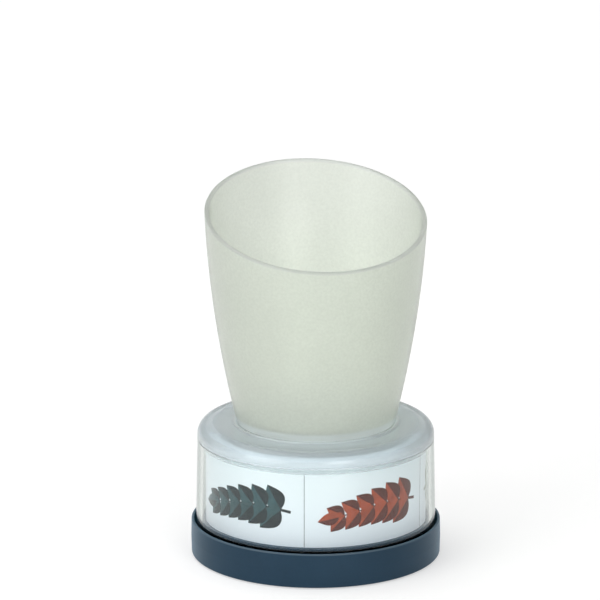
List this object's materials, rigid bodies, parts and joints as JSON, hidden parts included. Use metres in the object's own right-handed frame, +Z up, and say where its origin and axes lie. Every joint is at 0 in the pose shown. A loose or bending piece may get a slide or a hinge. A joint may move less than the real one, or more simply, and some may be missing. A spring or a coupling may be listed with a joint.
{
  "type": "pen holder",
  "caption": "Desk pen holder: frosted cup with a slanted rim on a clear drum that turns on a low dish and shows a paper display strip.",
  "frame": {"origin": "centre of the base, on the surface that the feet stand on", "axes": "+Z up along the axis that the drum turns on; +X to the right and +Y to the back of the pictured side"},
  "size_m": [0.0854, 0.0854, 0.1294],
  "materials": {
    "base_plastic": "satin slate blue-grey moulded plastic",
    "frosted_plastic": "frosted translucent moulded plastic",
    "clear_plastic": "clear polished moulded plastic",
    "display_card": "white printed card",
    "white_plastic": "plain white moulded plastic",
    "cage_nylon": "natural nylon",
    "foot_rubber": "matt black",
    "ball_steel": "polished",
    "plated_steel": "zinc plated"
  },
  "bodies": {
    "base": {"base_dish": "base_plastic", "pivot_screw": "plated_steel", "pivot_washer": "plated_steel", "foot_pad_1": "foot_rubber", "foot_pad_2": "foot_rubber", "foot_pad_3": "foot_rubber", "foot_pad_4": "foot_rubber"},
    "ball_ring": {"ball_cage": "cage_nylon", "bearing_ball_1": "ball_steel", "bearing_ball_2": "ball_steel", "bearing_ball_3": "ball_steel", "bearing_ball_4": "ball_steel", "bearing_ball_5": "ball_steel", "bearing_ball_6": "ball_steel", "bearing_ball_7": "ball_steel", "bearing_ball_8": "ball_steel"},
    "drum": {"turntable": "base_plastic", "insert_carrier": "white_plastic", "paper_insert": "display_card"},
    "cover": {"drum_window": "clear_plastic", "drum_top": "frosted_plastic"},
    "cup": {"cup": "frosted_plastic"}
  },
  "joints": [
    {"name": "drum_turn", "type": "hinge", "parent": "base", "child": "drum", "pos_m": [0, 0, 0.0053], "axis": [0, 0, 1], "continuous": true},
    {"name": "cage_turn", "type": "hinge", "parent": "base", "child": "ball_ring", "pos_m": [0, 0, 0.0053], "axis": [0, 0, 1], "continuous": true},
    {"name": "cover_lift", "type": "slide", "parent": "drum", "child": "cover", "axis": [0, 0, 1], "range_m": [0, 0.04]},
    {"name": "cup_lift", "type": "slide", "parent": "cover", "child": "cup", "axis": [0, 0, 1], "range_m": [0, 0.025]}
  ],
  "couplings": [
    {"joint": "cage_turn", "follows": "drum_turn", "ratio": 0.5}
  ]
}
